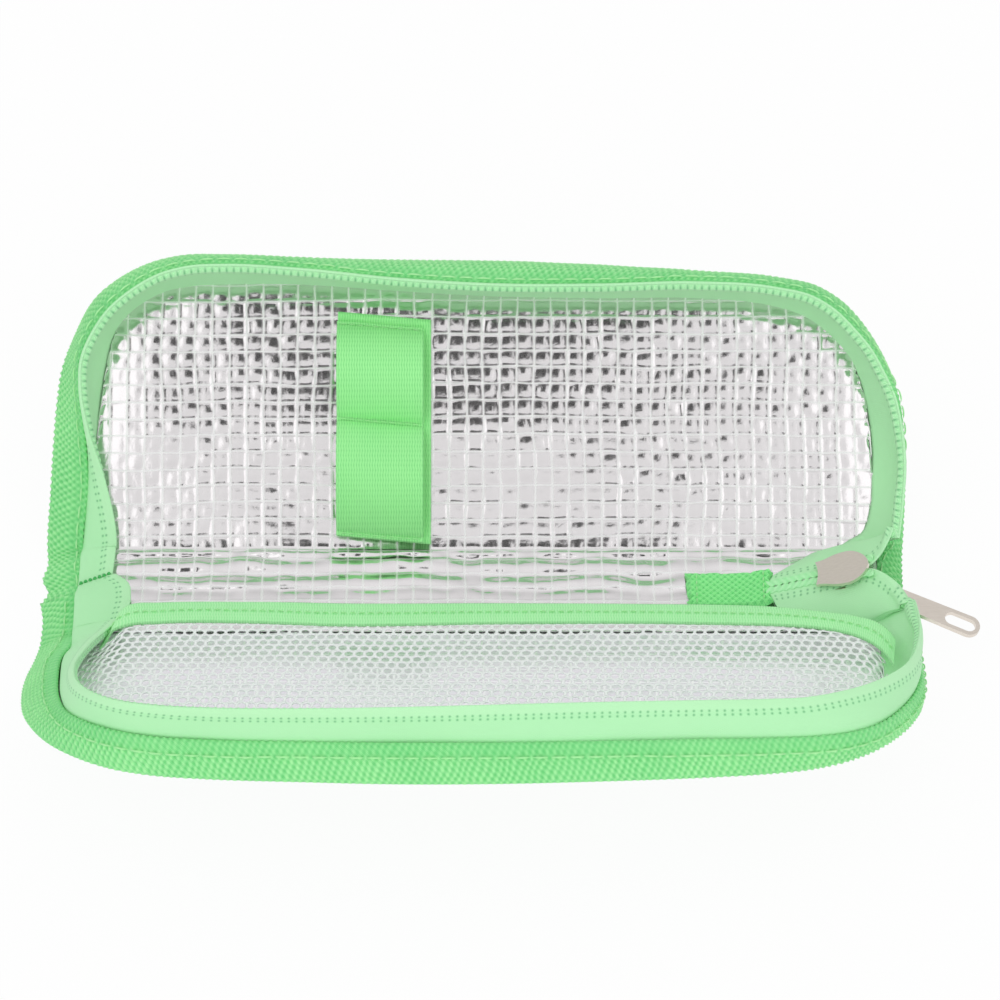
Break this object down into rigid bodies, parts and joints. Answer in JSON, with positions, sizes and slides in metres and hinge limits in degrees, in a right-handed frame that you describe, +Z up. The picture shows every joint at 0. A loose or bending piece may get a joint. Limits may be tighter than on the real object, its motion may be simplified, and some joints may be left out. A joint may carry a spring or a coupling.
{
  "type": "insulin cooling case",
  "caption": "Soft zip case lying open on its spine: two foil-lined half shells with webbing walls, a mesh pocket, elastic pen loops, and a coil zip with slider.",
  "frame": {"origin": "middle of the spine's underside, on the table", "axes": "+X along the case towards the slider, +Y across it towards the half with the pen loops, +Z up"},
  "size_m": [0.223, 0.1498, 0.0483],
  "materials": {
    "outer_cloth": "plain weave, matte",
    "webbing": "coarse woven, matte",
    "zip_tape": "fine woven, matte",
    "zip_coil": "nylon monofilament, satin",
    "elastic": "ribbed elastic, matte",
    "mesh": "knitted net, satin",
    "foam": "soft foam",
    "foil": "metallised film over thin batting, mirror-like",
    "nickel": "nickel-plated zinc, bright"
  },
  "bodies": {
    "spine": {"spine_cover": "outer_cloth", "spine_foam": "foam", "spine_foil": "foil", "left_hinge_webbing": "webbing", "right_hinge_webbing": "webbing", "front_tail_tape": "zip_tape", "back_tail_tape": "zip_tape", "front_tail_coil": "zip_coil", "back_tail_coil": "zip_coil", "zip_end_tab": "webbing", "zip_start_tack": "zip_tape"},
    "front_half": {"front_cover": "outer_cloth", "front_foam": "foam", "front_foil": "foil", "front_webbing": "webbing", "front_zip_tape": "zip_tape", "front_zip_coil": "zip_coil", "mesh_pocket": "mesh", "pocket_hem": "elastic"},
    "back_half": {"back_cover": "outer_cloth", "back_foam": "foam", "back_foil": "foil", "back_webbing": "webbing", "back_zip_tape": "zip_tape", "back_zip_coil": "zip_coil", "pen_band_base": "elastic", "pen_band_loops": "elastic"},
    "slider": {"slider_body": "nickel"},
    "puller": {"slider_puller": "nickel"}
  },
  "joints": [
    {"name": "front_fold", "type": "hinge", "parent": "spine", "child": "front_half", "pos_m": [0, -0.0135, 0], "axis": [-1, 0, 0], "range_deg": [-28.5, 58], "deforming": ["mesh_pocket", "pocket_hem"]},
    {"name": "back_fold", "type": "hinge", "parent": "spine", "child": "back_half", "pos_m": [0, 0.0135, 0], "axis": [1, 0, 0], "range_deg": [-28.5, 58]},
    {"name": "slider_run", "type": "slide", "parent": "spine", "child": "slider", "axis": [0.9397, 0, 0.342], "range_m": [-0.006, 0]},
    {"name": "puller_swing", "type": "hinge", "parent": "slider", "child": "puller", "pos_m": [0.09039, -0.0002, 0.00961], "axis": [0.3584, 0.9336, 0], "range_deg": [-7, 0]}
  ]
}
